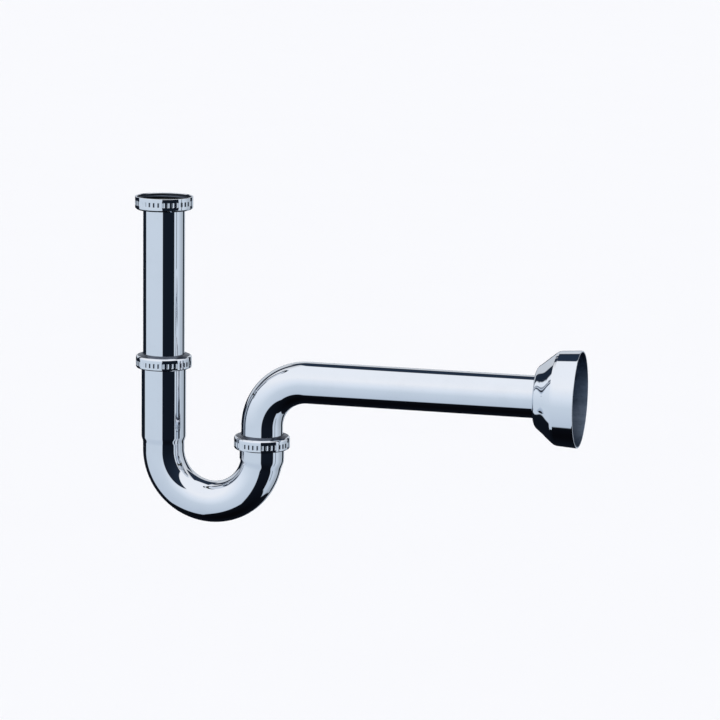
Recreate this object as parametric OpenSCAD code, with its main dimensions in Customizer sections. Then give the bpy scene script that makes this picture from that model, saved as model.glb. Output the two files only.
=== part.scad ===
// Tubular sink trap with two slip joints, a union nut at the sink and a sliding wall escutcheon.
// Origin: centre of the inlet gasket's top face. +Z up, the outlet runs along +X. Millimetres.

/* [Tube] */
// Outside diameter of the inlet and outlet tubes
tube_d = 32; // [30:0.5:34]
// Wall thickness of every tube
tube_wall = 1; // [0.8:0.1:1.4]
// Distance between the axes of the two vertical legs
leg_spacing = 79.3; // [76:0.1:90]
// Depth of the bend's centre below the gasket
bend_depth = 192.6; // [190:0.1:205]
// Depth of the inlet tube's lower end
inlet_depth = 172; // [150:1:176]
// Depth of the horizontal outlet axis
outlet_depth = 134; // [130:1:135]
// Radius of the outlet tube's quarter bend, on its axis
outlet_bend_r = 36; // [32:1:38]
// Length of the outlet tube from the vertical leg's axis to its end
outlet_reach = 224; // [200:1:300]
// Depth of the outlet tube's lower end
outlet_foot_depth = 193.5; // [190:0.5:194]

/* [Bend sockets] */
// Radial clearance between a tube and its socket
socket_gap = 0.15; // [0.1:0.05:0.3]
// Wall thickness of the widened sockets
socket_wall = 1; // [0.9:0.1:1.3]
// Depth at which the inlet socket ends and its shoulder starts
inlet_socket_depth = 182.6; // [178:0.1:184]
// Height of the inlet socket's shoulder
inlet_shoulder_h = 6; // [4:0.5:8]
// Depth at which the outlet socket ends and its shoulder starts
outlet_socket_depth = 194.5; // [194:0.1:195]

/* [Slip joints] */
// Depth of the upper slip nut's lower face
upper_nut_depth = 128.4; // [124:0.1:134]
// Depth of the lower slip nut's lower face
lower_nut_depth = 187; // [186.5:0.1:187.5]
// Outside radius of a slip nut
slip_nut_r = 21.5; // [21.2:0.1:23]
// Height of a slip nut
slip_nut_h = 10.7; // [10.4:0.1:11]
// Pitch radius of the slip nut's thread, drawn plain
slip_thread_r = 19.49; // [19.4:0.01:19.6]

/* [Union nut] */
// Outside radius of the union nut
union_nut_r = 22.2; // [22:0.1:24]
// Height of the union nut
union_nut_h = 10.1; // [9.8:0.1:11]
// Depth of the union nut's lower face
union_nut_depth = 5.8; // [5.7:0.1:6]
// Minor radius of the G 1 1/4 internal thread, drawn plain
union_thread_r = 19.48; // [19.4:0.01:19.6]

/* [Grip slots] */
// Number of slots round each nut
slot_count = 38; // [30:1:42]
// Width of a slot
slot_w = 1.6; // [1:0.1:2]
// Depth of a slot
slot_depth = 0.7; // [0.4:0.1:0.8]

/* [Escutcheon] */
// Outside radius at the wall
rose_r = 36.5; // [34:0.5:42]
// Depth from the wall to the nose
rose_depth = 33; // [30:0.5:40]
// Length of the cylindrical part
rose_cylinder_l = 16.5; // [12:0.5:20]
// Sheet thickness
rose_wall = 1; // [0.8:0.1:1.2]
// Distance from the tube's end to the wall
rose_lead = 22; // [20:0.5:26]

/* [Hidden] */
$fn = 96;

tube_r = tube_d / 2;
bore_r = tube_r - tube_wall;
socket_bore_r = tube_r + socket_gap;
socket_r = socket_bore_r + socket_wall;
bend_r = leg_spacing / 2;
run_gap = 0.05;   // running clearance between pieces that turn or slide on each other
face_gap = 0.1;   // axial clearance between stacked loose rings
cut = 1;          // overshoot of a cutting shape

gasket_t = 2;
gasket_r = 19.1;
collar_t = 1.3;
collar_r = 19;
slip_ring_t = 0.9;
union_relief_r = 20.3;
hole_r = tube_r + 0.35;   // hole in a nut's floor
ring_r = tube_r + 0.3;    // bore of a loose metal ring

// Heights inside a slip joint, measured up from the nut's lower face
socket_top = 3.6;
seat_bottom = 3.85;
ferrule_bottom = 0.5;
ferrule_top = 6.8;
thread_top = 7.1;
chamber_top = 8.8;
washer_t = 0.85;
shoulder_bottom = 7.6;
shoulder_round = 2;
top_flat = 0.5;           // width of the flat rim round the hole in a slip nut's top
seat_low_r = 16.97;
seat_high_r = 18.45;
chamber_r = 18.6;
slip_slots = [2.1, 5.7];
union_slots = [3.6, 7.1];

mark_from_end = 9;    // depth mark rolled round the outlet tube
mark_w = 1.2;
mark_depth = 0.25;

wall_x = leg_spacing + outlet_reach + rose_lead;
nose_face_r = 20;
nose_round = 5;
nose_turn = 48;
nose_bore_r = 17.4;

module tube_up(r, wall, low, high)
  translate([0, 0, low]) difference() {
    cylinder(r = r, h = high - low);
    translate([0, 0, -cut]) cylinder(r = r - wall, h = high - low + 2 * cut);
  }

module ring(inner, outer, low, high)
  translate([0, 0, low]) difference() {
    cylinder(r = outer, h = high - low);
    translate([0, 0, -cut]) cylinder(r = inner, h = high - low + 2 * cut);
  }

module slots(nut_r, span)
  for (i = [0 : slot_count - 1])
    rotate([0, 0, i * 360 / slot_count])
      translate([nut_r - slot_depth, -slot_w / 2, span[0]])
        cube([slot_depth + cut, slot_w, span[1] - span[0]]);

module at_upper() translate([0, 0, -upper_nut_depth]) children();
module at_lower() translate([leg_spacing, 0, -lower_nut_depth]) children();

// Slip nut: plain thread bore below, a chamber for the washer and seal, a low cone with a hole on top
module slip_nut() {
  edge = 0.4;
  difference() {
    rotate_extrude() polygon([
      [slip_thread_r + run_gap + edge, 0], [slip_nut_r - edge, 0], [slip_nut_r, edge],
      for (a = [0 : 10 : 70])
        [slip_nut_r - shoulder_round * (1 - cos(a)), shoulder_bottom + shoulder_round * sin(a)],
      [hole_r + top_flat, slip_nut_h], [hole_r, slip_nut_h],
      [hole_r, chamber_top], [chamber_r, chamber_top], [chamber_r, thread_top],
      [slip_thread_r + run_gap, thread_top], [slip_thread_r + run_gap, edge]
    ]);
    slots(slip_nut_r, slip_slots);
  }
}

module slip_washer()
  ring(ring_r, chamber_r - 0.2, chamber_top - face_gap - washer_t, chamber_top - face_gap);

// Tapered rubber ring that sits in the ferrule's conical seat
module cone_seal() {
  top = chamber_top - 2 * face_gap - washer_t;
  rotate_extrude() polygon([
    [tube_r + run_gap, seat_bottom + face_gap], [seat_low_r, seat_bottom + face_gap],
    [seat_high_r - run_gap, ferrule_top], [seat_high_r - run_gap, top], [tube_r + run_gap, top]
  ]);
}

// Threaded ring brazed round the socket's mouth, with the seal's seat above the socket's end
module ferrule() {
  edge = 0.4;
  rotate_extrude() polygon([
    [socket_r, ferrule_bottom], [slip_thread_r - edge, ferrule_bottom],
    [slip_thread_r, ferrule_bottom + edge], [slip_thread_r, ferrule_top - edge],
    [slip_thread_r - edge, ferrule_top], [seat_high_r, ferrule_top],
    [seat_low_r, seat_bottom], [seat_low_r, socket_top], [socket_r, socket_top]
  ]);
}

module inlet_tube()
  color("gainsboro") tube_up(tube_r, tube_wall, -inlet_depth, -gasket_t);

module inlet_collar()
  color("silver") ring(tube_r, collar_r, -gasket_t - collar_t, -gasket_t);

module inlet_gasket()
  color("dimgray") ring(bore_r + 0.2, gasket_r, -gasket_t, 0);

module union_slip_ring() {
  top = -gasket_t - collar_t - face_gap;
  color("tan") ring(ring_r, collar_r - 0.1, top - slip_ring_t, top);
}

// Union nut: internal thread above the gasket, a relief round the stack, a floor round the tube
module union_nut() {
  floor_z = -gasket_t - collar_t - slip_ring_t - 2 * face_gap;
  top = union_nut_h - union_nut_depth;
  edge = 0.4;
  shoulder = 1.2;
  color("gainsboro") difference() {
    rotate_extrude() polygon([
      [hole_r, -union_nut_depth], [union_nut_r - 1.6, -union_nut_depth],
      [union_nut_r, -union_nut_depth + shoulder], [union_nut_r, top - edge],
      [union_nut_r - edge, top], [union_thread_r + edge, top], [union_thread_r, top - edge],
      [union_thread_r, 0], [union_relief_r, 0], [union_relief_r, floor_z], [hole_r, floor_z]
    ]);
    translate([0, 0, -union_nut_depth]) slots(union_nut_r, union_slots);
  }
}

module upper_slip_nut() color("gainsboro") at_upper() slip_nut();
module upper_slip_washer() color("tan") at_upper() slip_washer();
module upper_cone_seal() color("dimgray") at_upper() cone_seal();
module upper_ferrule() color("silver") at_upper() ferrule();
module lower_slip_nut() color("gainsboro") at_lower() slip_nut();
module lower_slip_washer() color("tan") at_lower() slip_washer();
module lower_cone_seal() color("dimgray") at_lower() cone_seal();
module lower_ferrule() color("silver") at_lower() ferrule();

// Half turn of solid rod below the two legs
module bend_rod(r)
  translate([bend_r, 0, -bend_depth]) rotate([90, 0, 0])
    rotate([0, 0, 180]) rotate_extrude(angle = 180) translate([bend_r, 0]) circle(r = r);

// One leg of the bend as a solid: a wide socket, a conical shoulder, then the tube's own radius
module leg_rod(r_wide, r_tube, top, socket_end, shoulder_end) {
  translate([0, 0, socket_end]) cylinder(r = r_wide, h = top - socket_end);
  translate([0, 0, shoulder_end])
    cylinder(r1 = r_tube, r2 = r_wide, h = socket_end - shoulder_end);
  if (shoulder_end > -bend_depth)
    translate([0, 0, -bend_depth]) cylinder(r = r_tube, h = shoulder_end + bend_depth);
}

module u_bend() {
  inlet_top = socket_top - upper_nut_depth;
  outlet_top = socket_top - lower_nut_depth;
  inlet_end = -inlet_socket_depth;
  outlet_end = -outlet_socket_depth;
  low_inlet = inlet_end - inlet_shoulder_h;
  low_outlet = outlet_end - 6;
  sink = 0.6;   // the outlet shoulder dips into the bend by this much
  color("gainsboro") difference() {
    union() {
      bend_rod(tube_r);
      leg_rod(socket_r, tube_r, inlet_top, inlet_end, low_inlet);
      translate([leg_spacing, 0, 0])
        leg_rod(socket_r, tube_r - sink, outlet_top, outlet_end, low_outlet);
    }
    bend_rod(bore_r);
    leg_rod(socket_bore_r, bore_r, inlet_top + cut, inlet_end, low_inlet);
    translate([leg_spacing, 0, 0])
      leg_rod(socket_bore_r, bore_r - sink, outlet_top + cut, outlet_end, low_outlet);
  }
}

// Solid of the outlet tube's run, from its foot to its end, at a given radius
module outlet_rod(r, over) {
  bend_z = -outlet_depth - outlet_bend_r;
  translate([leg_spacing, 0, -outlet_foot_depth - over])
    cylinder(r = r, h = bend_z + outlet_foot_depth + over);
  translate([leg_spacing + outlet_bend_r, 0, bend_z]) rotate([90, 0, 0])
    rotate([0, 0, 90]) rotate_extrude(angle = 90) translate([outlet_bend_r, 0]) circle(r = r);
  translate([leg_spacing + outlet_bend_r, 0, -outlet_depth]) rotate([0, 90, 0])
    cylinder(r = r, h = outlet_reach - outlet_bend_r + over);
}

module outlet_tube()
  color("gainsboro") difference() {
    outlet_rod(tube_r, 0);
    outlet_rod(bore_r, cut);
    translate([leg_spacing + outlet_reach - mark_from_end, 0, -outlet_depth])
      rotate([0, 90, 0]) difference() {
        cylinder(r = tube_r + cut, h = mark_w);
        translate([0, 0, -cut]) cylinder(r = tube_r - mark_depth, h = mark_w + 2 * cut);
      }
  }

// Escutcheon outline: blunt nose, cone and slightly flared cylinder, as [radius, distance to wall]
function nose_arc(r0, d0, turn_r) = [
  for (a = [0 : nose_turn / 4 : nose_turn])
    [r0 + turn_r * sin(a), d0 - turn_r * (1 - cos(a))]
];
shoulder_r = rose_r - 1;
rose_outside = concat(
  [[nose_bore_r, rose_depth]],
  nose_arc(nose_face_r, rose_depth, nose_round),
  [[shoulder_r - 0.8, rose_cylinder_l + 1.2], [shoulder_r, rose_cylinder_l - 0.6], [rose_r, 0]]
);
rose_inside = concat(
  [[rose_r - rose_wall, 0], [shoulder_r - rose_wall, rose_cylinder_l - 0.6],
   [shoulder_r - 0.8 - rose_wall, rose_cylinder_l + 0.9]],
  [for (i = [4 : -1 : 0])
    nose_arc(nose_face_r, rose_depth - rose_wall, nose_round - rose_wall)[i]],
  [[nose_bore_r, rose_depth - rose_wall]]
);

// Turns a [radius, distance to wall] outline about the outlet axis
module on_wall() translate([wall_x, 0, -outlet_depth]) rotate([0, -90, 0]) children();

module escutcheon()
  color("gainsboro") on_wall()
    rotate_extrude() polygon(concat(rose_outside, rose_inside));

// Rubber grommet: a neck inside the nose's hole and a flange behind it
module escutcheon_grip() {
  neck_r = nose_bore_r - run_gap;
  back = rose_depth - rose_wall - face_gap;
  color("dimgray") on_wall() rotate_extrude() polygon([
    [tube_r + run_gap, rose_depth - 0.3], [neck_r, rose_depth - 0.3], [neck_r, back],
    [nose_face_r - 0.6, back], [nose_face_r - 0.6, back - 2], [tube_r + run_gap, back - 2]
  ]);
}

inlet_tube();
inlet_collar();
inlet_gasket();
union_slip_ring();
union_nut();
upper_slip_nut();
upper_slip_washer();
upper_cone_seal();
upper_ferrule();
u_bend();
lower_ferrule();
lower_cone_seal();
lower_slip_washer();
lower_slip_nut();
outlet_tube();
escutcheon_grip();
escutcheon();
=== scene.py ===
# %% [markdown]
# # A chromed basin trap, piece by piece
# A trap is the bend of pipe under a basin that stays full of water and keeps drain air out.
# This lesson builds one round its packed design model: three polished tubes, three ring nuts,
# the rings and seals that the nuts squeeze, and the rose that covers the hole in the wall.
# The design model already fixes every size and every joint, so nothing here is placed by eye.

import math

import bmesh
import bpy
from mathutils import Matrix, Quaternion, Vector


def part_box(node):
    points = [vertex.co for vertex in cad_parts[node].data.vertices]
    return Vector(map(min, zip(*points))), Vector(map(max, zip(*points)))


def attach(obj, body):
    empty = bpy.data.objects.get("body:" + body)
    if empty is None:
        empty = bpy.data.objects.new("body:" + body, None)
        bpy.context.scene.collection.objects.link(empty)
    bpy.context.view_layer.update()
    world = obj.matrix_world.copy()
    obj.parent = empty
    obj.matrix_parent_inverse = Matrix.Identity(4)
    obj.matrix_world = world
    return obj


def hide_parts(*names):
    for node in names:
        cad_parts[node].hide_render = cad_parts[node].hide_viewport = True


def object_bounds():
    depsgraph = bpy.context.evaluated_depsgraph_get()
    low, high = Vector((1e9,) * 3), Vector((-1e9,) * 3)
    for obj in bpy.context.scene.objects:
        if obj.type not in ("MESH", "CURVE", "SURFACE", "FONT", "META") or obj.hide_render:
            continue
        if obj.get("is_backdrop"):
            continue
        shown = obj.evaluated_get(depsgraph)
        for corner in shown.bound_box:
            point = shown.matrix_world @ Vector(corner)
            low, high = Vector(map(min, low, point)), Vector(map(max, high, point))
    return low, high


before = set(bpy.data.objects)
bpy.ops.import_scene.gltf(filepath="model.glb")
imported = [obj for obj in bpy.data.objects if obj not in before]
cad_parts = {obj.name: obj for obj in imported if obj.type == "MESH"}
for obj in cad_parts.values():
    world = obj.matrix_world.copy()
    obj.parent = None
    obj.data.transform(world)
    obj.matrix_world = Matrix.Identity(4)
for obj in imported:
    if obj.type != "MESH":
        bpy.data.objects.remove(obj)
design_box = [list(corner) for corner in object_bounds()]
bpy.ops.object.select_all(action="DESELECT")

MM = 0.001
WELD = 0.001 * MM
print("size in mm:", [round((high - low) / MM, 1) for low, high in zip(*design_box)])

# %% [markdown]
# ## Picking by place
# With no mouse, a face or an edge is picked by where it is. The helper below clears the
# selection and then picks what passes a test on its middle point. Only hits are selected:
# deselecting the misses one by one would also drop the corners that they share with the hits.

# %% Helpers for working on one piece at a time


def alone(piece):
    """Makes one piece the only selected one, and the active one."""
    bpy.ops.object.select_all(action="DESELECT")
    piece.select_set(True)
    bpy.context.view_layer.objects.active = piece


def shape_mode():
    """Goes into edit mode with everything selected."""
    bpy.ops.object.mode_set(mode="EDIT")
    bpy.ops.mesh.select_mode(type="VERT")
    bpy.ops.mesh.select_all(action="SELECT")


def object_mode():
    """Leaves edit mode, which is what writes the changes to the mesh."""
    bpy.ops.object.mode_set(mode="OBJECT")


def pick(test, kind="VERT"):
    """In edit mode, selects only the parts whose middle passes the test, and counts them."""
    bpy.ops.mesh.select_mode(type=kind)
    bpy.ops.mesh.select_all(action="DESELECT")
    mesh = bpy.context.edit_object.data
    shape = bmesh.from_edit_mesh(mesh)
    parts = {"VERT": shape.verts, "EDGE": shape.edges, "FACE": shape.faces}[kind]
    hits = 0
    for part in parts:
        corners = [part] if kind == "VERT" else part.verts
        middle = sum((corner.co for corner in corners), Vector()) / len(corners)
        if test(middle):
            part.select_set(True)
            hits += 1
    shape.select_flush_mode()
    bmesh.update_edit_mesh(mesh)
    return hits


def close_and_face_outwards():
    """Welds the seam that a spin leaves, then turns every face outwards."""
    bpy.ops.mesh.select_mode(type="VERT")
    bpy.ops.mesh.select_all(action="SELECT")
    bpy.ops.mesh.remove_doubles(threshold=WELD)
    bpy.ops.mesh.normals_make_consistent(inside=False)


def apply_modifier(piece, kind, **settings):
    """Adds one modifier, sets it and applies it at once."""
    alone(piece)
    modifier = piece.modifiers.new(kind.title(), kind)
    for setting, value in settings.items():
        setattr(modifier, setting, value)
    bpy.ops.object.modifier_apply(modifier=modifier.name)


# %% [markdown]
# ## A small lathe
# Nuts, washers, seals and the rose are all turned or spun round one axis, so they share one
# method: a single point is extruded along the section, and the section is spun a full turn.
# A section is written as corners (radius, height, rounding). Real edges are never sharp, and
# on chrome each rounding shows as a bright line, so every corner says how far it is rounded.

# %% Round the corners of a section
# Degrees of arc between two points, and the largest share of a side that a rounding takes.
ARC_STEP = 18
LONGEST_REACH = 0.49


def rounded(corners, closed=True):
    """Replaces each corner (radius, height, rounding) by a short arc."""
    points = []
    count = len(corners)
    for index, (radius, height, rounding) in enumerate(corners):
        here = Vector((radius, height))
        is_end = not closed and index in (0, count - 1)
        if rounding == 0 or is_end:
            points.append(here)
            continue
        before = Vector(corners[index - 1][:2]) - here
        after = Vector(corners[(index + 1) % count][:2]) - here
        half_angle = before.angle(after) / 2
        room = min(before.length, after.length) * LONGEST_REACH
        reach = min(rounding / math.tan(half_angle), room)
        true_radius = reach * math.tan(half_angle)
        centre = here + (before.normalized() + after.normalized()).normalized() * (
            true_radius / math.sin(half_angle)
        )
        start = here + before.normalized() * reach - centre
        stop = here + after.normalized() * reach - centre
        turn = start.angle_signed(stop)
        steps = max(2, round(abs(math.degrees(turn)) / ARC_STEP))
        for step in range(steps + 1):
            angle = -turn * step / steps
            points.append(centre + Vector((
                start.x * math.cos(angle) - start.y * math.sin(angle),
                start.x * math.sin(angle) + start.y * math.cos(angle),
            )))
    return points


# %% Draw a section point by point


def draw_section(name, points, closed=True):
    """Extrudes one point along a route. The section is left selected, in edit mode."""
    bpy.ops.object.select_all(action="DESELECT")
    bpy.ops.mesh.primitive_plane_add(size=MM, location=points[0])
    bpy.ops.object.transform_apply()
    piece = bpy.context.object
    piece.name = name
    shape_mode()
    bpy.ops.mesh.merge(type="CENTER")
    route = points[1:] + points[:1] if closed else points[1:]
    here = points[0]
    for there in route:
        bpy.ops.mesh.extrude_region_move(TRANSFORM_OT_translate={"value": there - here})
        here = there
    bpy.ops.mesh.select_all(action="SELECT")
    bpy.ops.mesh.remove_doubles(threshold=WELD)
    return piece


# %% Spin a section round an upright or a level axis
ROUND_STEPS = 152


def turned(name, corners, centre, along="Z", steps=ROUND_STEPS, closed=True):
    """Turns a section of (radius, height, rounding) corners, in mm, round an axis at centre."""

    def place(point):
        radius, height = point
        offset = (radius, 0, height) if along == "Z" else (height, 0, radius)
        return Vector(centre) + Vector(offset) * MM

    piece = draw_section(name, [place(point) for point in rounded(corners, closed)], closed)
    axis = (0, 0, 1) if along == "Z" else (1, 0, 0)
    bpy.ops.mesh.spin(steps=steps, angle=math.tau, center=centre, axis=axis)
    close_and_face_outwards()
    object_mode()
    return piece


# %% [markdown]
# ## A screw thread
# A thread is one small ridge wound round a helix. The Screw modifier does exactly that to a
# section, one pitch higher each turn. A positive rise makes the common right-hand thread, and
# a nut that turns anticlockwise, seen from above, then climbs along it. The ridge is buried a
# little in its wall, and each end is drawn down to nothing, as a cutting tool leaves it.

# %% Wind a thread and fade out its ends
# Half widths of the ridge are shares of the pitch, and BURIED is in mm. FADED is the scale to
# which the end sections shrink.
THREAD_STEPS = 72
BURIED = 0.15
HALF_BASE, HALF_FOOT, HALF_CREST = 0.44, 0.40, 0.10
FADED = 0.02


def thread(name, root, crest, pitch, foot, turns, centre):
    """A right-hand ridge from the root radius to the crest radius, in mm, in its own mesh."""
    outwards = 1 if crest > root else -1
    base = root - BURIED * outwards
    section = [
        (base, -HALF_BASE), (root, -HALF_FOOT), (crest, -HALF_CREST),
        (crest, HALF_CREST), (root, HALF_FOOT), (base, HALF_BASE),
    ]
    points = [Vector((radius * MM, 0, (foot + share * pitch) * MM)) for radius, share in section]
    ridge = draw_section(name, points)
    object_mode()
    apply_modifier(
        ridge, "SCREW", axis="Z", angle=math.tau, screw_offset=pitch * MM, iterations=turns,
        steps=THREAD_STEPS, render_steps=THREAD_STEPS, use_merge_vertices=False,
    )

    def in_end_section(point, level):
        in_plane = point.x > 0 and abs(point.y) < 0.01 * MM
        return in_plane and abs(point.z - level) < (HALF_BASE + 0.01) * pitch * MM

    shape_mode()
    bpy.ops.mesh.fill_holes(sides=8)
    for end in (foot, foot + pitch * turns):
        level = end * MM
        pick(lambda point: in_end_section(point, level))
        bpy.ops.transform.resize(
            value=(FADED, 1, FADED), center_override=(base * MM, 0, level)
        )
    close_and_face_outwards()
    object_mode()
    alone(ridge)
    ridge.location = centre
    bpy.ops.object.transform_apply()
    return ridge


# %% [markdown]
# ## Shells and insides
# A threaded nut is two closed shells in one mesh, its wall and its ridge, and the ridge's base
# lies inside the wall. A boolean would weld them, but it leaves long thin faces beside a
# helix, and on chrome those show. The mop doesn't reach inside a nut, so the faces that lie
# near the axis get a second finish, chosen by their distance from it: dull plating whose
# colour is darkened as painted shade, for the shade inside the nut and round the tube.

# %% Join shells and give an inside dull plating with painted shade


def join(piece, *others):
    """Adds other shells to a piece. They become part of its mesh."""
    alone(piece)
    for other in others:
        other.select_set(True)
    bpy.ops.object.join()
    return piece


def coat_inside_with_painted_shade(piece, centre, reach, outside, inside):
    """Gives the second finish, dull plating with painted shade, to the faces nearer to an upright
    axis than the reach, in mm.
    """
    piece.data.materials.append(outside)
    piece.data.materials.append(inside)
    for face in piece.data.polygons:
        from_axis = math.hypot(face.center.x - centre[0], face.center.y - centre[1])
        if from_axis < reach * MM:
            face.material_index = 1


# %% [markdown]
# ## Finishing a piece
# Every piece ends the same way: it gets its finishes, smooth shading whose direction is set
# by the large faces and not by the small roundings, and the body that it moves with. The
# print compares its box with the design's, so a slip of more than a fraction of a millimetre
# shows at once.

# %% Hand a finished piece to its body


def finish_piece(piece, body, node, slot, *materials):
    """Shades a piece, puts it on its body in the node's place, and prints how well it fits."""
    alone(piece)
    bpy.ops.object.shade_smooth()
    apply_modifier(piece, "WEIGHTED_NORMAL", weight=50, keep_sharp=False)
    for material in materials:
        piece.data.materials.append(material)
    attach(piece, body)
    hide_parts(node)
    low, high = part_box(node)
    points = [vertex.co for vertex in piece.data.vertices]
    slips = [
        max(
            abs(min(point[side] for point in points) - low[side]),
            abs(max(point[side] for point in points) - high[side]),
        )
        for side in range(3)
    ]
    faces = len(piece.data.polygons)
    print(f"{piece.name}: {faces} faces, {max(slips) / MM:.2f} mm from the design's box")


# %% [markdown]
# ## Shader sums as plain sums
# A finish is worked out from noise and position, and wiring Math nodes by hand hides the sum.
# The class below wraps a socket, so that 1 - grime * 0.3 adds the nodes for it. Everything
# else comes from one method that takes a node's type, its settings and its socket values.

# %% A socket that can be added and multiplied


class Wire:
    """One output of a node tree. Sums with it add Math nodes."""

    def __init__(self, tree, socket):
        self.tree = tree
        self.socket = socket

    def maths(self, operation, *values, clamp=False):
        settings = {"operation": operation, "use_clamp": clamp}
        return self.tree.node("ShaderNodeMath", settings, values)

    def __add__(self, other):
        return self.maths("ADD", self, other)

    def __mul__(self, other):
        return self.maths("MULTIPLY", self, other)

    def __sub__(self, other):
        return self.maths("SUBTRACT", self, other)

    def __rsub__(self, other):
        return self.maths("SUBTRACT", other, self)

    __radd__ = __add__
    __rmul__ = __mul__

    def clamped(self):
        """The same value, held between 0 and 1."""
        return self.maths("ADD", self, 0.0, clamp=True)

    def rise(self, middle, width):
        """0 below the middle, 1 above it, with a straight slope of the given width between."""
        return ((self - (middle - width / 2)) * (1 / width)).clamped()

    def between(self, low, high, width):
        """1 from low to high and 0 outside, with soft sides."""
        return self.rise(low, width) * (1 - self.rise(high, width))


# %% A node tree with one way to add a node


class Tree:
    """A cleared node tree, for a finish or for the studio round the object."""

    def __init__(self, tree):
        self.tree = tree
        tree.nodes.clear()

    def node(self, kind, settings=None, values=(), output=0):
        made = self.tree.nodes.new(kind)
        for setting, value in (settings or {}).items():
            if setting == "stops":
                self.set_stops(made.color_ramp, value)
            else:
                setattr(made, setting, value)
        inputs = [socket for socket in made.inputs if socket.enabled]
        outputs = [socket for socket in made.outputs if socket.enabled]
        pairs = values.items() if isinstance(values, dict) else enumerate(values)
        for key, value in pairs:
            socket = self.find(inputs, key)
            if isinstance(value, Wire):
                self.tree.links.new(value.socket, socket)
            else:
                socket.default_value = value
        return Wire(self, self.find(outputs, output)) if outputs else None

    @staticmethod
    def find(sockets, key):
        if isinstance(key, int):
            return sockets[key]
        return next(socket for socket in sockets if socket.name == key)

    @staticmethod
    def set_stops(ramp, stops):
        while len(ramp.elements) < len(stops):
            ramp.elements.new(0.5)
        for element, (position, colour) in zip(ramp.elements, stops):
            element.position = position
            element.color = (*colour, 1)

    def mix(self, share, first, second):
        """A colour between two, by a share from 0 to 1."""
        first, second = ((*c, 1) if isinstance(c, tuple) else c for c in (first, second))
        return self.node("ShaderNodeMix", {"data_type": "RGBA"}, (share, first, second))

    def dimmed(self, colour, share):
        """A colour times a plain number."""
        settings = {"data_type": "RGBA", "blend_type": "MULTIPLY"}
        return self.node("ShaderNodeMix", settings, (1.0, colour, (share, share, share, 1)))

    def noise(self, place, scale, detail=2.0, roughness=0.5):
        values = {"Vector": place, "Scale": scale, "Detail": detail, "Roughness": roughness}
        return self.node("ShaderNodeTexNoise", {}, values)

    def object_place(self, scale=(1, 1, 1)):
        """Position on the piece in metres, stretched along each axis."""
        place = self.node("ShaderNodeTexCoord", output="Object")
        return self.node("ShaderNodeMapping", {}, {"Vector": place, "Scale": scale})

    def bump(self, height, depth, normal=None):
        """A bump whose full height is the depth, in metres."""
        values = {"Strength": 1.0, "Distance": depth, "Height": height}
        if normal:
            values["Normal"] = normal
        return self.node("ShaderNodeBump", {}, values)

    def surface(self, **values):
        """The shader and the output. A socket's name is written with _ for a space."""
        named = {name.replace("_", " "): value for name, value in values.items()}
        shader = self.node("ShaderNodeBsdfPrincipled", {}, named)
        self.node("ShaderNodeOutputMaterial", {}, {"Surface": shader})


def new_finish(name):
    """A new material and its empty tree."""
    material = bpy.data.materials.new(name)
    material.use_nodes = True
    return material, Tree(material.node_tree)


# %% [markdown]
# ## Chromium plate
# Chromium is plated in a very thin layer over nickel on polished brass. It is a cold, slightly
# blue metal that gives back about two thirds of the light, and it looks like chrome mostly
# through what it mirrors. Three small faults make it real: wide soft smears that dull it a
# little, hairlines left by the polishing mop, and a very shallow ripple of the metal below,
# which makes straight reflections waver. Each is far too shallow to model as mesh.

# %% A plating recipe shared by tubes, nuts and rose
SMEARS_PER_METRE = 38.0
SMEAR_HAZE, HAIRLINE_HAZE = 0.045, 0.03
SMEAR_SHADE = 0.93
HAIRLINE_DEPTH = 0.0006 * MM


def plated(name, tint, dullness, ripple_size, ripple_depth, hairline_stretch):
    """Chrome with smears, hairlines and a ripple. Sizes are in metres."""
    material, tree = new_finish(name)
    place = tree.object_place()
    smears = tree.noise(place, SMEARS_PER_METRE, detail=5.0, roughness=0.6)
    hairlines = tree.noise(tree.object_place(hairline_stretch), 1.0, detail=3.0, roughness=0.7)
    ripple = tree.noise(place, 1 / ripple_size, detail=1.0)
    smeared = smears.rise(0.62, 0.30)
    colour = tree.mix(smeared * 0.5, tint, tuple(value * SMEAR_SHADE for value in tint))
    scratched = hairlines.rise(0.66, 0.12)
    roughness = dullness + SMEAR_HAZE * smeared + HAIRLINE_HAZE * scratched
    shallow = tree.bump(ripple, ripple_depth)
    relief = tree.bump(hairlines, HAIRLINE_DEPTH, shallow)
    tree.surface(Base_Color=colour, Metallic=1.0, Roughness=roughness, Normal=relief)
    print(f"{name}: tint {tint}, ripple {ripple_depth / MM:.3f} mm deep")
    return material


# %% Plate the tubes, the nuts and the rose
# The last numbers stretch the hairlines along a tube, or round a nut or the rose.
CHROME_TINT = (0.70, 0.735, 0.785)
tube_chrome = plated("tube_chrome", CHROME_TINT, 0.018, 0.030, 0.020 * MM, (900, 900, 60))
arm_chrome = plated("arm_chrome", CHROME_TINT, 0.018, 0.030, 0.020 * MM, (60, 900, 900))
nut_chrome = plated("nut_chrome", CHROME_TINT, 0.040, 0.006, 0.012 * MM, (700, 700, 90))
rose_chrome = plated("rose_chrome", CHROME_TINT, 0.022, 0.045, 0.025 * MM, (70, 800, 800))

# %% [markdown]
# ## The metals and plastics that are not plated
# Inside, the tubes are bare drawn brass, dulled by water and streaked along the tube. The back
# of the rose has the thin grey of unpolished nickel, and so have the tops and bores of the
# nuts, which no polishing mop reaches; there the grey is darkened much further as painted
# shade, for the shade round the tube and inside the nuts. Rings and washers are moulded nylon
# with a waxy, faintly clouded white, and the seals are black rubber with a dusty bloom.

# %% A recipe for bare metal
SPOTS_PER_METRE = 420.0
STAIN_HAZE = 0.18
STREAK_DEPTH = 0.01 * MM


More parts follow.
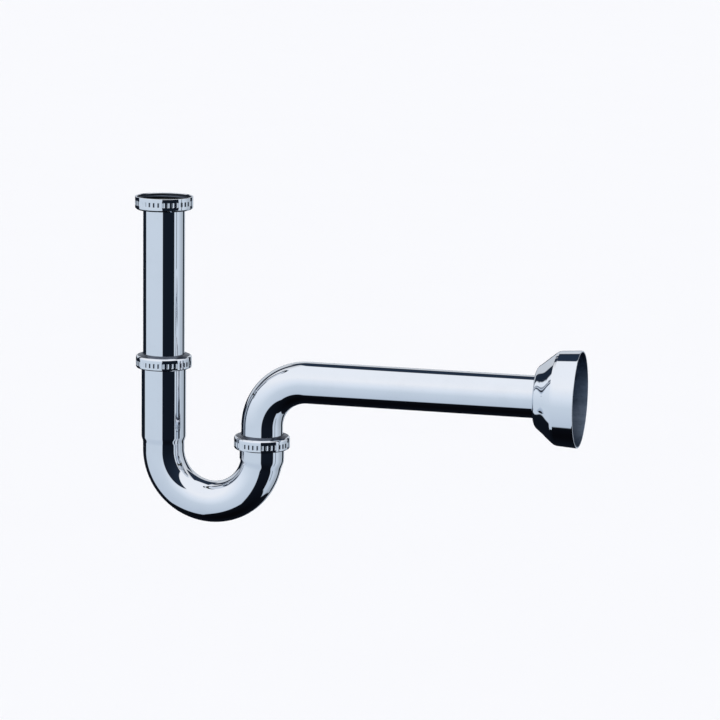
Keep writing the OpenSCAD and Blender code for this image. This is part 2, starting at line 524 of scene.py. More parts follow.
def bare_metal(name, bright, stained, roughness, stretch):
    """A metal that goes from its bright to its stained colour, in streaks and spots."""
    material, tree = new_finish(name)
    streaks = tree.noise(tree.object_place(stretch), 1.0, detail=5.0, roughness=0.65)
    spots = tree.noise(tree.object_place(), SPOTS_PER_METRE, detail=3.0)
    stain = (streaks.rise(0.5, 0.4) * 0.7 + spots.rise(0.6, 0.2) * 0.3).clamped()
    tree.surface(
        Base_Color=tree.mix(stain, bright, stained), Metallic=1.0,
        Roughness=roughness + STAIN_HAZE * stain, Normal=tree.bump(streaks, STREAK_DEPTH),
    )
    return material


# %% A recipe for moulded pieces
GRAINS_PER_METRE = 3200.0
CLOUD_HAZE = 0.12
LIGHT_REACH = (1.2 * MM, 1.0 * MM, 0.8 * MM)


def moulded(name, pale, shade, roughness, cloud_size, grain_depth, wax):
    """A clouded, finely grained plastic or rubber. Wax is how much light goes into it."""
    material, tree = new_finish(name)
    place = tree.object_place()
    clouds = tree.noise(place, 1 / cloud_size, detail=4.0)
    grain = tree.noise(place, GRAINS_PER_METRE, detail=2.0)
    tree.surface(
        Base_Color=tree.mix(clouds.rise(0.5, 0.5), pale, shade),
        Roughness=roughness + CLOUD_HAZE * clouds, Normal=tree.bump(grain, grain_depth),
        Subsurface_Weight=wax, Subsurface_Radius=LIGHT_REACH,
    )
    return material


# %% Bare brass, unpolished nickel, nickel darkened as painted shade, nylon and rubber
WET_BRASS, WET_STAIN = (0.40, 0.32, 0.19), (0.13, 0.11, 0.08)
NEW_BRASS, NEW_STAIN = (0.68, 0.52, 0.26), (0.42, 0.31, 0.15)
NICKEL, NICKEL_STAIN = (0.24, 0.30, 0.40), (0.13, 0.17, 0.23)
# The second, much darker nickel pair and the nut finish made from it are dull plating with painted
# shade: the colour stands in for the shade round the tube and inside the nuts.
NICKEL_IN_PAINTED_SHADE, STAIN_IN_PAINTED_SHADE = (0.11, 0.13, 0.17), (0.06, 0.07, 0.09)
drawn_brass = bare_metal("drawn_brass", WET_BRASS, WET_STAIN, 0.30, (700, 700, 25))
arm_brass = bare_metal("arm_brass", WET_BRASS, WET_STAIN, 0.30, (25, 700, 700))
dull_nickel = bare_metal("dull_nickel", NICKEL, NICKEL_STAIN, 0.34, (30, 220, 220))
unbuffed_nut_painted_shade = bare_metal("unbuffed_nut_painted_shade", NICKEL_IN_PAINTED_SHADE, STAIN_IN_PAINTED_SHADE, 0.26, (240, 240, 900))
machined_brass = bare_metal("machined_brass", NEW_BRASS, NEW_STAIN, 0.22, (60, 60, 2400))

NYLON_WHITE, NYLON_SHADE = (0.84, 0.84, 0.80), (0.72, 0.72, 0.67)
RUBBER_BLACK, RUBBER_BLOOM = (0.018, 0.018, 0.019), (0.042, 0.041, 0.040)
nylon = moulded("nylon", NYLON_WHITE, NYLON_SHADE, 0.36, 0.009, 0.006 * MM, 0.12)
rubber = moulded("rubber", RUBBER_BLACK, RUBBER_BLOOM, 0.52, 0.006, 0.012 * MM, 0.0)
print("finishes made:", len(bpy.data.materials))

# %% [markdown]
# ## Where everything is
# The boxes of the design's nodes give the three axes of the trap: the inlet leg, the outlet
# leg and the level arm. Radii follow from the same boxes, so a change in the design moves
# and resizes every piece below.

# %% Axes and radii from the design's boxes


def middle_of(node):
    low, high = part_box(node)
    return (low + high) / 2


def radius_of(node):
    """Half the width of a round node from front to back, in mm."""
    low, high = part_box(node)
    return (high.y - low.y) / 2 / MM


def place_of(node):
    """The foot of an upright round node on its axis, in metres, and its height in mm."""
    low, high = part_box(node)
    return (middle_of(node).x, 0, low.z), (high.z - low.z) / MM


inlet_axis = middle_of("union_nut")
outlet_axis = middle_of("lower_slip_nut")
tube_radius = radius_of("inlet_tube")
socket_radius = radius_of("u_bend")
tube_wall = 1.0
arm_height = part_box("outlet_tube")[1].z - tube_radius * MM
wall_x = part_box("escutcheon")[1].x
print(f"legs {(outlet_axis.x - inlet_axis.x) / MM:.1f} mm apart, tubes {tube_radius * 2:.1f} mm")

# %% [markdown]
# ## Drawing a tube
# A bent tube starts as one ring of points. Extruding the ring makes the straight runs, a spin
# about a point beside it makes a bend, and resizing the last ring makes the swaged shoulder
# where a socket starts. One more ring lies 1 mm from each end, so that the rounding of the cut
# doesn't pull on a long face. The wall comes last, as thickness added inwards, with bare brass
# on its inside. A wall modelled ring by ring would need every step twice.

# %% Tools for tubes
RING_POINTS = 128
END_RING = 1.0 * MM


def start_tube(name, centre, radius):
    """One upright ring in edit mode, ready to be extruded."""
    bpy.ops.object.select_all(action="DESELECT")
    bpy.ops.mesh.primitive_circle_add(vertices=RING_POINTS, radius=radius * MM, location=centre)
    bpy.ops.object.transform_apply()
    piece = bpy.context.object
    piece.name = name
    shape_mode()
    return piece


def pull(here, there, widen=1.0):
    """Extrudes the selected ring from one centre to the next, and widens or narrows it."""
    offset = Vector(there) - Vector(here)
    bpy.ops.mesh.extrude_region_move(TRANSFORM_OT_translate={"value": offset})
    if widen != 1.0:
        bpy.ops.transform.resize(value=(widen,) * 3, center_override=there)
    return Vector(there)


def ease(share):
    """Goes from 0 to 1 with no kink at either end."""
    return share * share * (3 - 2 * share)


# %% Give a tube its wall
RIM_ROUNDING = 0.28 * MM


def give_wall(piece, outside, inside):
    """Thickens a finished skin inwards and rounds its two cut ends."""
    piece.data.materials.append(outside)
    piece.data.materials.append(inside)
    apply_modifier(
        piece, "SOLIDIFY", thickness=tube_wall * MM, offset=-1, use_even_offset=True,
        material_offset=1, material_offset_rim=1,
    )
    apply_modifier(
        piece, "BEVEL", width=RIM_ROUNDING, segments=3, limit_method="ANGLE",
        angle_limit=math.radians(50), use_clamp_overlap=False,
    )


# %% [markdown]
# ## The return bend
# This is the piece that holds the water. Both its ends are widened into sockets, which slide
# over the tubes above. The press that widens them leaves a short S-shaped shoulder: on the
# inlet side it sits on the straight leg, and on the outlet side it runs into the bend itself.
# Its slight hollow catches small bead-like reflections, so the shoulder has rings to spare.

# %% Model the return bend


def return_bend():
    mouth_in_ferrule = 3.1 * MM
    top_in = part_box("upper_ferrule")[0].z + mouth_in_ferrule
    top_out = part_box("lower_ferrule")[0].z + mouth_in_ferrule
    bend_radius = (outlet_axis.x - inlet_axis.x) / 2
    bend_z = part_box("u_bend")[0].z + bend_radius + tube_radius * MM
    shoulder_top = bend_z + 10.4 * MM
    shoulder_length = 5.6 * MM
    shoulder_rings = 9

    piece = start_tube("return_bend", (inlet_axis.x, 0, top_in), socket_radius)
    here = Vector((inlet_axis.x, 0, top_in))
    here = pull(here, (here.x, 0, top_in - END_RING))
    here = pull(here, (here.x, 0, shoulder_top))
    radius = socket_radius
    for ring in range(1, shoulder_rings + 1):
        share = ring / shoulder_rings
        next_radius = socket_radius + (tube_radius - socket_radius) * ease(share)
        place = (here.x, 0, shoulder_top - shoulder_length * share)
        here = pull(here, place, next_radius / radius)
        radius = next_radius
    here = pull(here, (here.x, 0, bend_z))

    centre = Vector((inlet_axis.x + bend_radius, 0, bend_z))
    arc_steps = 160
    bpy.ops.mesh.spin(steps=arc_steps, angle=math.pi, center=centre, axis=(0, 1, 0))
    if pick(lambda point: point.x > centre.x and abs(point.z - bend_z) < 0.01 * MM) != RING_POINTS:
        print("the bend's last ring was not found")
    here = Vector((outlet_axis.x, 0, bend_z))
    here = pull(here, (here.x, 0, bend_z + 0.8 * MM))
    here = pull(here, (here.x, 0, top_out - END_RING))
    pull(here, (here.x, 0, top_out))

    widened_at, plain_at = math.radians(4.2), math.radians(12.4)
    grow = socket_radius / tube_radius

    def widen_at(turn_left):
        """How much wider the tube is, this many radians before the end of the bend."""
        share = (plain_at - turn_left) / (plain_at - widened_at)
        return 1 + (grow - 1) * ease(min(1, max(0, share)))

    for step in range(arc_steps + 1):
        turn_left = math.pi * step / arc_steps
        if turn_left > plain_at:
            break
        ring_centre = centre + Vector((math.cos(turn_left), 0, -math.sin(turn_left))) * bend_radius
        normal = Vector((math.sin(turn_left), 0, math.cos(turn_left)))
        pick(
            lambda point: abs((point - ring_centre).dot(normal)) < 0.01 * MM
            and (point - ring_centre).length < 1.5 * tube_radius * MM
        )
        bpy.ops.transform.resize(value=(widen_at(turn_left),) * 3, center_override=ring_centre)
    pick(lambda point: point.x > centre.x and point.z > bend_z + 0.1 * MM)
    bpy.ops.transform.resize(value=(grow, grow, 1), center_override=(outlet_axis.x, 0, bend_z))
    close_and_face_outwards()
    object_mode()
    give_wall(piece, tube_chrome, drawn_brass)
    return piece


finish_piece(return_bend(), "bend_body", "u_bend", "chrome_tube")

# %% [markdown]
# ## The dip tube
# The inlet tube hangs from the basin and dips into the bend's long socket, so the trap's
# height can be set. A turned brass collar is brazed round its top: the union nut pulls on a
# ring below the collar, and the collar presses the rubber gasket up against the basin waste.

# %% Model the dip tube


def dip_tube():
    low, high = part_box("inlet_tube")
    piece = start_tube("dip_tube", (inlet_axis.x, 0, high.z), tube_radius)
    here = Vector((inlet_axis.x, 0, high.z))
    for ring_depth in (END_RING, 60 * MM, 115 * MM, 169 * MM):
        here = pull(here, (here.x, 0, high.z - ring_depth))
    pull(here, (here.x, 0, low.z))
    close_and_face_outwards()
    object_mode()
    give_wall(piece, tube_chrome, drawn_brass)
    return piece


finish_piece(dip_tube(), "inlet_pipe", "inlet_tube", "chrome_tube")

# %% Turn the rings at the top of the dip tube
GROOVE_DEPTH = 0.18
RING_BORE, GASKET_BORE = 16.3, 15.2


def flat_ring(name, node, bore, corner, grooves=()):
    """A turned ring that fills its node's box, with a bore in mm and heights of fine grooves."""
    centre, height = place_of(node)
    outer = radius_of(node)
    section = [(bore, 0, corner), (outer, 0, corner)]
    for groove in grooves:
        floor_radius = outer - GROOVE_DEPTH
        section += [
            (outer, groove - 0.22, 0.08), (floor_radius, groove - 0.1, 0.05),
            (floor_radius, groove + 0.1, 0.05), (outer, groove + 0.22, 0.08),
        ]
    section += [(outer, height, corner), (bore, height, corner)]
    return turned(name, section, centre)


collar = flat_ring("dip_tube_collar", "inlet_collar", tube_radius, 0.2)
finish_piece(collar, "inlet_pipe", "inlet_collar", "raw_brass", machined_brass)
gasket = flat_ring("inlet_gasket_rubber", "inlet_gasket", GASKET_BORE, 0.35, grooves=(1.0,))
finish_piece(gasket, "inlet_pipe", "inlet_gasket", "black_rubber", rubber)
slip_ring = flat_ring("union_ring_nylon", "union_slip_ring", RING_BORE, 0.2)
finish_piece(slip_ring, "union_ring_body", "union_slip_ring", "ring_plastic", nylon)

# %% [markdown]
# ## Finger slots
# The nuts are tightened by hand, so their rims have a row of short upright slots, each with two
# sloping sides. The slopes mirror the far sides of the room, so a slot shows dark in a bright
# place and bright in a dark one, and that makes the row read at any angle. The section is spun
# with a whole number of steps for each slot. The faces of every slot are picked by angle and
# height and pushed in, and their columns of points are then drawn to the slopes.

# %% Cut the slots of a nut
# A slot takes four of the eight steps from one slot to the next. FLUTE is its depth at each
# of its five columns of points, in mm.
SLOTS = 38
STEPS_PER_SLOT = 8
SLOT_STEPS = 4
SLOT_DEPTH = 0.7
FLUTE = (0.0, 0.36, SLOT_DEPTH, 0.36, 0.0)
NUT_STEPS = SLOTS * STEPS_PER_SLOT
NUT_EDGE = 0.10 * MM


def cut_slots(nut, centre, low, high, radius):
    """Cuts every slot between two heights, in mm above the centre."""
    pitch = math.tau / SLOTS
    step = pitch / STEPS_PER_SLOT

    def column_of(point):
        """Steps from the start of the point's own slot."""
        turn = math.atan2(point.y - centre[1], point.x - centre[0]) + step / 2
        return (turn % pitch) / step - 0.5

    def from_axis(point):
        return math.hypot(point.x - centre[0], point.y - centre[1]) / MM

    def in_a_slot(point):
        height = (point.z - centre[2]) / MM
        on_rim = from_axis(point) > radius - 0.1
        return on_rim and low < height < high and -0.2 < column_of(point) < SLOT_STEPS

    alone(nut)
    shape_mode()
    found = pick(in_a_slot, "FACE")
    bpy.ops.mesh.extrude_region_shrink_fatten(
        TRANSFORM_OT_shrink_fatten={"value": -SLOT_DEPTH * MM}
    )
    floor_radius = radius - SLOT_DEPTH
    for column, depth in enumerate(FLUTE):
        pick(
            lambda point: abs(from_axis(point) - floor_radius) < 0.05
            and low - 0.1 < (point.z - centre[2]) / MM < high + 0.1
            and abs(column_of(point) - column) < 0.2
        )
        grow = (radius - depth) / floor_radius
        bpy.ops.transform.resize(value=(grow, grow, 1), center_override=centre)
    bpy.ops.mesh.select_all(action="SELECT")
    bpy.ops.mesh.remove_doubles(threshold=0.03 * MM)
    close_and_face_outwards()
    object_mode()
    apply_modifier(
        nut, "BEVEL", width=NUT_EDGE, segments=2, limit_method="ANGLE",
        angle_limit=math.radians(30), use_clamp_overlap=False,
    )
    print(f"{nut.name}: {found} faces in {SLOTS} slots")


# %% [markdown]
# ## The union nut
# The top nut is a shallow cup. Its floor hangs on the ring under the collar, and its inside
# carries the coarse pipe thread that screws onto the basin waste. It stands open to the eye,
# so the thread is wound in full and not hinted at with grooves.

# %% Model the union nut
NUT_PLAY = 0.35


def union_nut():
    low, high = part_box("union_nut")
    centre = (inlet_axis.x, 0, 0)
    bottom, top = low.z / MM, high.z / MM
    rim = radius_of("union_nut")
    hole = tube_radius + NUT_PLAY
    floor_top = bottom + 1.4
    thread_root, thread_crest, pitch, turns = 20.95, 19.48, 2.309, 2
    thread_foot = -1.55
    slot_low, slot_high = bottom + 3.6, bottom + 7.1
    section = [
        (hole, bottom, 0.2), (rim - 1.6, bottom, 0.6), (rim, bottom + 1.25, 0.6),
        (rim, slot_low, 0), (rim, slot_high, 0), (rim, top, 0.45), (thread_root + 0.45, top, 0.2),
        (thread_root, top - 0.5, 0.1), (thread_root, floor_top, 0.3), (hole, floor_top, 0.15),
    ]
    nut = turned("union_nut_chromed", section, centre, steps=NUT_STEPS)
    cut_slots(nut, centre, slot_low, slot_high, rim)
    ridge = thread(
        "union_thread", thread_root, thread_crest, pitch, thread_foot, turns, centre,
    )
    join(nut, ridge)
    # The faces nearer the axis than the thread's root, the cup's wall, thread, floor and hole, get
    # dull plating with painted shade.
    coat_inside_with_painted_shade(nut, centre, thread_root + 0.1, nut_chrome, unbuffed_nut_painted_shade)
    return nut


finish_piece(union_nut(), "union_nut_body", "union_nut", "chrome_nut")

# %% [markdown]
# ## The two slip joints
# Each socket of the bend has the same slip joint, so one set of tools makes both. From the
# bottom up it is a threaded brass ferrule brazed round the socket, a rubber cone that lies in
# the ferrule's mouth, a nylon washer that lets the nut turn without dragging the rubber, and
# the ring nut. The nut's rim rounds over into a low cone, which is left unbuffed and is
# darkened with painted shade, for the shade round the tube.

# %% Model the ring nut of a slip joint
# Heights are in mm above the nut's foot. The ferrule of the joint has the same fine thread.
FINE_PITCH = 1.5
FINE_TURNS = 3
FINE_THREAD_FOOT = 1.25


def slip_nut(name, node):
    centre, top = place_of(node)
    rim = radius_of(node)
    hole, hole_rim = tube_radius + NUT_PLAY, 0.5
    mouth, thread_root, thread_crest = 20.45, 20.05, 19.24
    recess, recess_low, recess_high = 18.6, 7.1, 8.8
    slot_low, slot_high = 2.1, 5.7
    round_start, shoulder = 7.6, 2.0
    chromed_rim = 1.35
    section = [
        (mouth, 0, 0.1), (rim - 0.6, 0, 0.15), (rim, 0.8, 0.2),
        (rim, slot_low, 0), (rim, slot_high, 0), (rim, round_start, 0),
    ]
    for degrees in range(10, 80, 10):
        turn = math.radians(degrees)
        section.append((
            rim - shoulder + shoulder * math.cos(turn), round_start + shoulder * math.sin(turn), 0,
        ))
    section += [
        (hole + hole_rim, top, 0.5), (hole, top, 0.15), (hole, recess_high, 0.1),
        (recess, recess_high, 0.1), (recess, recess_low, 0.1),
        (thread_root, recess_low, 0.1), (thread_root, 0.4, 0.1),
    ]
    nut = turned(name, section, centre, steps=NUT_STEPS)
    cut_slots(nut, centre, slot_low, slot_high, rim)
    ridge = thread(
        name + "_thread", thread_root, thread_crest, FINE_PITCH, FINE_THREAD_FOOT, FINE_TURNS,
        centre,
    )
    join(nut, ridge)
    # The faces nearer the axis than the chromed rim, the top round the hole, the recess, bore and
    # thread, get dull plating with painted shade.
    coat_inside_with_painted_shade(nut, centre, rim - chromed_rim, nut_chrome, unbuffed_nut_painted_shade)
    return nut


# %% Model the ferrule and the cone seal
# The ferrule's foot stands 0.5 mm above the nut's, and its ridge winds half a pitch above
# the nut's ridge, so that each ridge lies in the other's groove.
FERRULE_LIFT = 0.5
SEAT_FOOT = 16.97


def ferrule(name, node):
    centre, top = place_of(node)
    bore, root, crest = socket_radius + 0.02, 19.0, 19.82
    seat_rim = 18.45
    section = [
        (bore, 0, 0.15), (root, 0, 0.3), (root, top, 0.15), (seat_rim, top, 0.1),
        (SEAT_FOOT, top - 2.95, 0.1), (bore, top - 3.2, 0),
    ]
    ring = turned(name, section, centre)
    thread_foot = FINE_THREAD_FOOT - FERRULE_LIFT + FINE_PITCH / 2
    ridge = thread(name + "_thread", root, crest, FINE_PITCH, thread_foot, FINE_TURNS, centre)
    return join(ring, ridge)


def cone_seal(name, node):
    centre, top = place_of(node)
    outer, bore = radius_of(node), 16.05
    section = [
        (bore, 0, 0.1), (SEAT_FOOT, 0, 0.2), (outer, top - 0.95, 0.3), (outer, top, 0.2),
        (bore, top, 0.15), (bore, top * 0.62, 0.1), (bore + 0.15, top * 0.5, 0.1),
        (bore, top * 0.38, 0.1),
    ]
    return turned(name, section, centre)


# %% Assemble both slip joints
for side in ("upper", "lower"):
    nut = slip_nut(f"{side}_ring_nut", f"{side}_slip_nut")
    finish_piece(nut, f"{side}_nut_body", f"{side}_slip_nut", "chrome_nut")
    washer = flat_ring(f"{side}_washer_nylon", f"{side}_slip_washer", RING_BORE, 0.15)
    finish_piece(washer, f"{side}_washer_body", f"{side}_slip_washer", "ring_plastic", nylon)
    seal = cone_seal(f"{side}_cone_rubber", f"{side}_cone_seal")
    finish_piece(seal, f"{side}_seal_body", f"{side}_cone_seal", "black_rubber", rubber)
    brass = ferrule(f"{side}_brass_ferrule", f"{side}_ferrule")
    finish_piece(brass, "bend_body", f"{side}_ferrule", "raw_brass", machined_brass)

# %% [markdown]
# ## The outlet arm
# The arm stands in the lower socket, turns level and runs into the wall. It is bent from the
# same tube, and a shallow groove near its end shows how far it has to go into the wall pipe.

# %% Model the outlet arm


def outlet_arm():
    low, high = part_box("outlet_tube")
    foot, end = low.z, high.x
    bend_radius = 36.0 * MM
    bend_start = arm_height - bend_radius
    arc_steps = 80
    groove, groove_width, groove_depth = end - 9.0 * MM, 1.2 * MM, 0.25

    piece = start_tube("outlet_arm", (outlet_axis.x, 0, foot), tube_radius)
    here = Vector((outlet_axis.x, 0, foot))
    here = pull(here, (here.x, 0, foot + END_RING))
    pull(here, (here.x, 0, bend_start))
    centre = Vector((outlet_axis.x + bend_radius, 0, bend_start))
    bpy.ops.mesh.spin(steps=arc_steps, angle=-math.pi / 2, center=centre, axis=(0, 1, 0))
    if pick(lambda point: abs(point.x - centre.x) < 0.01 * MM) != RING_POINTS:
        print("the arm's last ring was not found")
    here = Vector((centre.x, 0, arm_height))
    narrow = 1 - groove_depth / tube_radius
    stations = [
        (centre.x + END_RING, 1), (centre.x + 60 * MM, 1), (centre.x + 120 * MM, 1),
        (groove - 0.4 * MM, 1), (groove, 1), (groove + 0.25 * groove_width, narrow),
        (groove + 0.75 * groove_width, 1), (groove + groove_width, 1 / narrow),
        (end - END_RING, 1), (end, 1),
    ]
    for x, widen in stations:
        here = pull(here, (x, 0, arm_height), widen)
    close_and_face_outwards()
    object_mode()
    give_wall(piece, arm_chrome, arm_brass)
    return piece


finish_piece(outlet_arm(), "outlet_pipe", "outlet_tube", "chrome_tube")

# %% [markdown]
# ## The wall rose
# The rose is spun from thin sheet over a former. It starts at a flat nose round the tube,
# rounds over into a cone, and ends in a nearly straight skirt that meets the wall. Spun sheet
# is never quite straight, so the cone is very slightly hollow near the nose and full near the
# skirt, which bends what it mirrors. The skin is turned as an open section and thickened
# inwards, so that its back is one even sheet, and a rubber grommet in the nose grips the arm
# and holds the rose where it is pushed.

# %% Model the wall rose


def wall_rose():
    low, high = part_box("escutcheon")
    depth = (high.x - low.x) / MM
    rim = radius_of("escutcheon")
    hole, nose_face, nose_round = 17.4, 20.0, 5.0
    cone_end = Vector((34.9, 17.6))
    swell, cone_steps = 0.09, 10
    section = [(hole, depth - 1.0, 0), (hole, depth, 0.3)]
    for degrees in range(0, 49, 6):
        turn = math.radians(degrees)
        section.append((
            nose_face + nose_round * math.sin(turn),
            depth - nose_round + nose_round * math.cos(turn),
            0,
        ))
    cone_start = Vector(section[-1][:2])
    cone = cone_end - cone_start
    outwards = Vector((-cone.y, cone.x)).normalized()
    for step in range(1, cone_steps):
        share = step / cone_steps
        spot = cone_start + cone * share - outwards * swell * math.sin(math.tau * share)
        section.append((spot.x, spot.y, 0))
    section += [(*cone_end, 1.2), (35.55, 15.6, 0.8), (rim, 1.0, 0), (rim, 0, 0)]
    mirrored = [(radius, -distance, rounding) for radius, distance, rounding in section]
    piece = turned(
        "wall_rose", mirrored, (wall_x, 0, arm_height), along="X", steps=192, closed=False,
    )
    piece.data.materials.append(rose_chrome)
    piece.data.materials.append(dull_nickel)
    apply_modifier(
        piece, "SOLIDIFY", thickness=tube_wall * MM, offset=-1, use_even_offset=True,
        material_offset=1, material_offset_rim=0,
    )
    apply_modifier(
        piece, "BEVEL", width=0.25 * MM, segments=3, limit_method="ANGLE",
        angle_limit=math.radians(60), use_clamp_overlap=False,
    )
    return piece


finish_piece(wall_rose(), "escutcheon_body", "escutcheon", "chrome_rose")

# %% Model the grommet in the rose's nose


def grommet():
    low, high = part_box("escutcheon_grip")
    length = (high.x - low.x) / MM
    flange = radius_of("escutcheon_grip")
    neck_length, neck, bore = 0.8, 17.35, 16.05
    section = [
        (bore, 0, 0.15), (neck, 0, 0.2), (neck, neck_length, 0.05), (flange, neck_length, 0.3),
        (flange, length, 0.5), (bore + 0.5, length, 0.3), (bore, length - 0.8, 0.2),
    ]
    return turned("rose_grommet", section, (low.x, 0, arm_height), along="X")


finish_piece(grommet(), "grip_body", "escutcheon_grip", "black_rubber", rubber)

# %% [markdown]
# ## The studio
# Chrome shows its room, so the room is most of the look. Here it is a pale tent, bright above
# and bluish below, with open gaps that mirror as black bands. It is drawn on the world by
# bearing and height, since its walls are far away: nothing has to be placed, and the bands
# come out with no noise. Bearing 0 is straight in front of the trap and 90 is to the right,
# on the rose's side. Only the object sees the tent, and the camera sees one even pale tone.

# %% Tools for drawing the studio by direction
TO_DEGREES = 180 / math.pi
SLIT_SOFTNESS = 0.03
PATCH_SOFTNESS = 0.015


def direction(bearing, height):
    """The unit vector towards a bearing and a height, both in degrees."""
    turn, lift = math.radians(bearing), math.radians(height)
    level = math.cos(lift)
    return Vector((math.sin(turn) * level, -math.cos(turn) * level, math.sin(lift)))


class Sky:
    """The direction of a ray, as a bearing and a height that gaps can be measured on."""

    def __init__(self, tree):
        self.tree = tree
        self.ray = tree.node("ShaderNodeTexCoord", output="Generated")
        x, y, z = (tree.node("ShaderNodeSeparateXYZ", {}, (self.ray,), side) for side in "XYZ")
        self.height = z.maths("ARCSINE", z) * TO_DEGREES
        self.bearing = x.maths("ARCTAN2", x, 0 - y) * TO_DEGREES

    def towards(self, axis):
        """The cosine of the angle between the ray and an axis."""
        settings = {"operation": "DOT_PRODUCT"}
        return self.tree.node("ShaderNodeVectorMath", settings, (self.ray, axis), "Value")

    def by_height(self, stops):
        """A colour ramp from straight down, at 0, to straight up, at 1."""
        place = self.height * (1 / 180) + 0.5
        return self.tree.node("ShaderNodeValToRGB", {"stops": stops}, (place,))

    def gap(self, middle, half_width, low, high, soft=2.0):
        """An opening round a bearing, between two heights, in degrees."""
        away = self.bearing.maths("WRAP", self.bearing - middle, 180.0, -180.0)
        away = away.maths("ABSOLUTE", away)
        return (1 - away.rise(half_width, soft)) * self.height.between(low, high, soft)

    def round_gap(self, bearing, height, half_width):
        """A round opening, by its direction and half its width, in degrees."""
        near = self.towards(direction(bearing, height))
        return near.rise(math.cos(math.radians(half_width)), PATCH_SOFTNESS)

    def slanting_gap(self, one_end, other_end, half_width):
        """A band along the great circle through two directions (bearing, height)."""
        side = self.towards(direction(*one_end).cross(direction(*other_end)).normalized())
        limit = math.sin(math.radians(half_width))
        return 1 - side.maths("ABSOLUTE", side).rise(limit, SLIT_SOFTNESS)


# %% Hang the tent and open its gaps
TENT = [
    (0.10, (0.50, 0.57, 0.66)), (0.24, (0.57, 0.64, 0.73)), (0.44, (0.65, 0.72, 0.80)),
    (0.56, (0.82, 0.87, 0.94)), (0.70, (0.98, 0.98, 1.0)), (0.86, (0.96, 0.97, 1.0)),
]
DARK = [
    (0.05, (0.002, 0.002, 0.003)), (0.42, (0.006, 0.009, 0.015)), (0.75, (0.02, 0.032, 0.055)),
]
BACKDROP = (0.955, 0.965, 0.985, 1)
TENT_STRENGTH = 1.16
SHADE_BEHIND = 0.72


def studio():
    world = bpy.data.worlds.new("studio")
    bpy.context.scene.world = world
    world.use_nodes = True
    tree = Tree(world.node_tree)
    sky = Sky(tree)
    tent = sky.by_height(TENT)
    from_front = sky.bearing.maths("ABSOLUTE", sky.bearing)
    behind = from_front.rise(115, 24) * (1 - sky.height.rise(58, 8))
    tent = tree.mix(behind, tent, tree.dimmed(tent, SHADE_BEHIND))

    # Front right makes the broad black band down the tubes, back left and back right the dark
    # lines along their edges, and back top the line along the arm. The round gaps darken the
    # undersides, and the slanting ones cross the rose's cone.
    front_right = sky.gap(43.6, 33, -90, 32)
    back_left = sky.gap(-135.5, 36.5, -90, 2)
    back_top = sky.gap(170, 42, 30, 64, 3.0)
    back_right = sky.gap(155, 10, -38, 24, 1.5)
    right_slit = sky.gap(91, 1.5, -38, 8, 1.0)
    under_front = sky.round_gap(44.5, -75, 30)
    under_back = sky.round_gap(-166, -70, 38.5)
    slant_low = sky.slanting_gap((-105, -10), (-113, 20), 7) * sky.gap(-112, 24, -14, 21)
    slant_high = sky.slanting_gap((-113, 20), (-156, 50), 7) * sky.gap(-135, 38, 19, 50)
    gaps = [
        front_right, under_front, under_back, back_left, back_top, slant_low, slant_high,
        back_right, right_slit,
    ]
    open_share = gaps[0]
    for one in gaps[1:]:
        open_share = open_share.maths("MAXIMUM", open_share, one)

    room = tree.mix(open_share, tent, sky.by_height(DARK))
    background = "ShaderNodeBackground"
    seen_by_object = tree.node(background, {}, {"Color": room, "Strength": TENT_STRENGTH})
    seen_by_camera = tree.node(background, {}, {"Color": BACKDROP, "Strength": 1.0})
    camera_ray = tree.node("ShaderNodeLightPath", output="Is Camera Ray")
    both = tree.node("ShaderNodeMixShader", {}, (camera_ray, seen_by_object, seen_by_camera))
    tree.node("ShaderNodeOutputWorld", {}, {"Surface": both})
    print(f"studio: {len(gaps)} dark openings")


studio()

# %% Show colours as they are, with no film look
view = bpy.context.scene.view_settings
view.view_transform = "Standard"
view.look = "None"

# %% [markdown]
# ## Floor and fill light
# The trap hangs on the basin, so the floor lies well below it, plain and pale. It stays out of
# the chrome: a mirror image of it would fill the dark undersides. One very wide sun lights it
# evenly, with a shadow too soft to see.

# %% Lay the floor
FLOOR_DROP, FLOOR_RADIUS = 1.6, 60
FLOOR_WHITE, FLOOR_SHADE = (0.864, 0.859, 0.863), (0.870, 0.865, 0.869)


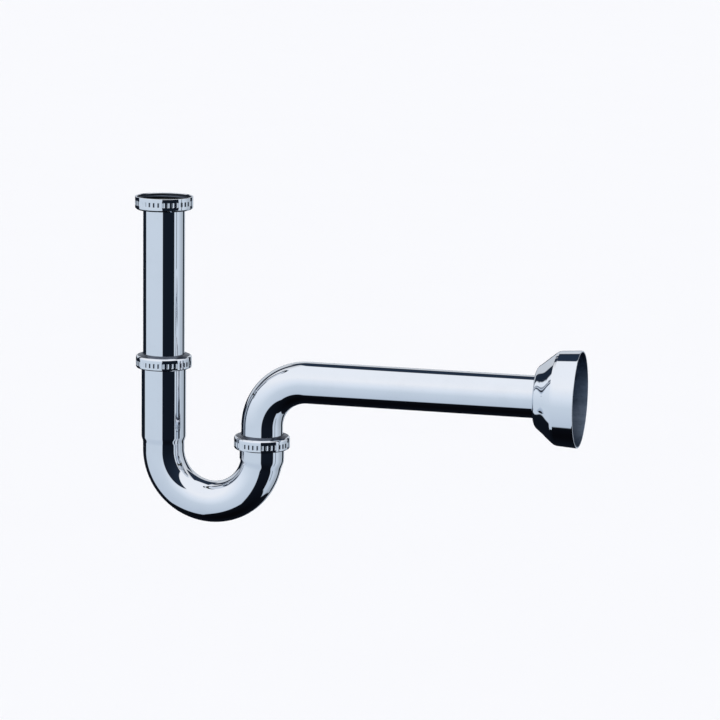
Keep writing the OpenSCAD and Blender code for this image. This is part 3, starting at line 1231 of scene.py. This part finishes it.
def floor():
    level = design_box[0][2] - FLOOR_DROP
    bpy.ops.object.select_all(action="DESELECT")
    bpy.ops.mesh.primitive_circle_add(
        vertices=96, radius=FLOOR_RADIUS, fill_type="NGON", location=(0, 0, level)
    )
    ground = bpy.context.object
    ground.name = "studio_floor"
    material, tree = new_finish("pale_paint")
    mottle = tree.noise(tree.object_place(), 1.5, detail=4.0)
    colour = tree.mix(mottle, FLOOR_WHITE, FLOOR_SHADE)
    tree.surface(Base_Color=colour, Roughness=0.9, Specular_IOR_Level=0.0)
    ground.data.materials.append(material)
    ground.visible_glossy = False
    ground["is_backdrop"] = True
    print(f"floor {FLOOR_DROP} m below the bend")


floor()

# %% Hang the light
SUN_TILT = (math.radians(12), math.radians(-14), 0)
SUN_WIDTH = math.radians(80)
SUN_ENERGY = 0.91


def wide_sun():
    bpy.ops.object.light_add(type="SUN", rotation=SUN_TILT)
    sun = bpy.context.object
    sun.name = "wide_sun"
    sun.data.angle = SUN_WIDTH
    sun.data.energy = SUN_ENERGY
    sun.visible_glossy = False


wide_sun()

# %% [markdown]
# ## The camera
# The camera stands about two metres away with a long lens, a little right of square and a
# little above, which keeps the level arm nearly level and opens the rose's mouth slightly.

# %% Place the camera
LENS, SENSOR = 136.9, 36.0


def look_at_trap():
    azimuth, elevation, roll = (math.radians(angle) for angle in (13.73, 10.51, 0.88))
    distance = 2.0761
    aim_right, aim_up = 4.35 * MM, 8.03 * MM
    middle = (Vector(design_box[0]) + Vector(design_box[1])) / 2
    aim = Vector((middle.x + aim_right, 0, middle.z + aim_up))
    back = Vector((
        math.sin(azimuth) * math.cos(elevation),
        -math.cos(azimuth) * math.cos(elevation),
        math.sin(elevation),
    ))
    bpy.ops.object.camera_add(location=aim + back * distance)
    camera = bpy.context.object
    camera.name = "studio_camera"
    camera.rotation_mode = "QUATERNION"
    camera.rotation_quaternion = Quaternion(back, roll) @ back.to_track_quat("Z", "Y")
    camera.data.lens = LENS
    camera.data.sensor_width = SENSOR
    camera.data.clip_end = 100.0
    bpy.context.scene.camera = camera
    return camera


camera = look_at_trap()
print("camera at", [round(value, 3) for value in camera.location])

# %% Measure how far the shown box steps past the design's box
shown_box = [list(corner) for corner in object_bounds()]
print("largest step past the design's box in mm:", round(max(
    max(abs(shown_box[end][side] - design_box[end][side]) for end in (0, 1)) for side in range(3)
) / MM, 2))
